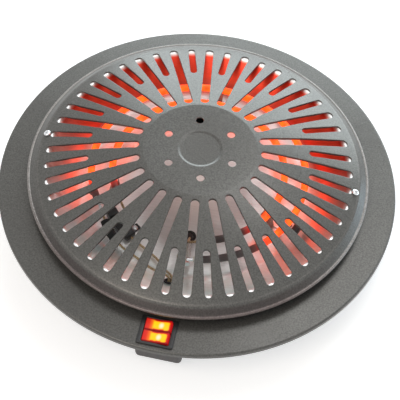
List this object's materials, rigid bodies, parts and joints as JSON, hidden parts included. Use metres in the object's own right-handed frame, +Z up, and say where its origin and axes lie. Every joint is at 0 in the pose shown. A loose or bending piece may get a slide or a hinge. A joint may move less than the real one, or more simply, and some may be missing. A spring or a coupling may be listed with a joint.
{
  "type": "electric brazier",
  "caption": "Low round electric brazier: a slotted domed guard over ring-shaped heating elements, a wide flat rim with lit rocker switches, and a base pan on rubber feet.",
  "frame": {"origin": "on the brazier's axis, in the plane of the feet's undersides", "axes": "+Z up along the brazier's axis, -Y toward the switch, +X to the right seen from the switch's side"},
  "size_m": [0.3792, 0.3792, 0.088],
  "materials": {
    "graphite_paint": "fine-grained semi-gloss paint",
    "galvanised_steel": "dull spangled zinc",
    "polished_aluminium": "bright rolled",
    "element_sheath": "dark oxide, glows orange when it is on",
    "ceramic": "matt white ceramic",
    "zinc_steel": "bright zinc plate",
    "blackened_steel": "matt black oxide",
    "rubber": "matt black",
    "black_plastic": "fine moulded grain",
    "red_lens": "clear red, lit from below",
    "lamp_glass": "clear, glowing",
    "brass": "bright stamped",
    "lead_sleeve": "woven heat-proof sleeve"
  },
  "bodies": {
    "base": {"base_pan": "galvanised_steel", "box_nut_left": "zinc_steel", "box_nut_right": "zinc_steel", "box_stud_left": "zinc_steel", "box_stud_right": "zinc_steel", "clip_rivet_1": "zinc_steel", "clip_rivet_2": "zinc_steel", "clip_rivet_3": "zinc_steel", "cord_gland": "rubber", "element_inner": "element_sheath", "element_inner_bush_left": "ceramic", "element_inner_bush_right": "ceramic", "element_inner_pin_left": "zinc_steel", "element_inner_pin_right": "zinc_steel", "element_outer": "element_sheath", "element_outer_bush_left": "ceramic", "element_outer_bush_right": "ceramic", "element_outer_pin_left": "zinc_steel", "element_outer_pin_right": "zinc_steel", "floor_grommet": "rubber", "foot_1": "rubber", "foot_2": "rubber", "foot_3": "rubber", "foot_4": "rubber", "foot_screw_1": "zinc_steel", "foot_screw_2": "zinc_steel", "foot_screw_3": "zinc_steel", "foot_screw_4": "zinc_steel", "guard": "graphite_paint", "guard_nut_left": "zinc_steel", "guard_nut_right": "zinc_steel", "guard_screw_left": "zinc_steel", "guard_screw_right": "zinc_steel", "lead_cutout": "lead_sleeve", "lead_inner_left": "lead_sleeve", "lead_inner_right": "lead_sleeve", "lead_outer_left": "lead_sleeve", "lead_outer_right": "lead_sleeve", "pan_grommet": "rubber", "reflector": "polished_aluminium", "rim_plate": "graphite_paint", "ring_clip_1": "blackened_steel", "ring_clip_2": "blackened_steel", "ring_clip_3": "blackened_steel", "rocker_pin": "zinc_steel", "switch_box": "graphite_paint", "switch_housing": "black_plastic", "switch_lamp_inner": "lamp_glass", "switch_lamp_outer": "lamp_glass", "switch_tab_1": "brass", "switch_tab_2": "brass", "switch_tab_3": "brass", "switch_tab_4": "brass", "switch_tab_5": "brass", "switch_tab_6": "brass", "thermal_cutout": "black_plastic", "thermal_cutout_rivet": "zinc_steel", "wall_grommet": "rubber"},
    "rocker_inner": {"rocker_inner": "red_lens"},
    "rocker_outer": {"rocker_outer": "red_lens"}
  },
  "joints": [
    {"name": "rocker_inner_hinge", "type": "hinge", "parent": "base", "child": "rocker_inner", "pos_m": [0, -0.16633, 0.0456], "axis": [0, 1, 0], "range_deg": [0, 14]},
    {"name": "rocker_outer_hinge", "type": "hinge", "parent": "base", "child": "rocker_outer", "pos_m": [0, -0.17758, 0.0456], "axis": [0, 1, 0], "range_deg": [0, 14]}
  ]
}
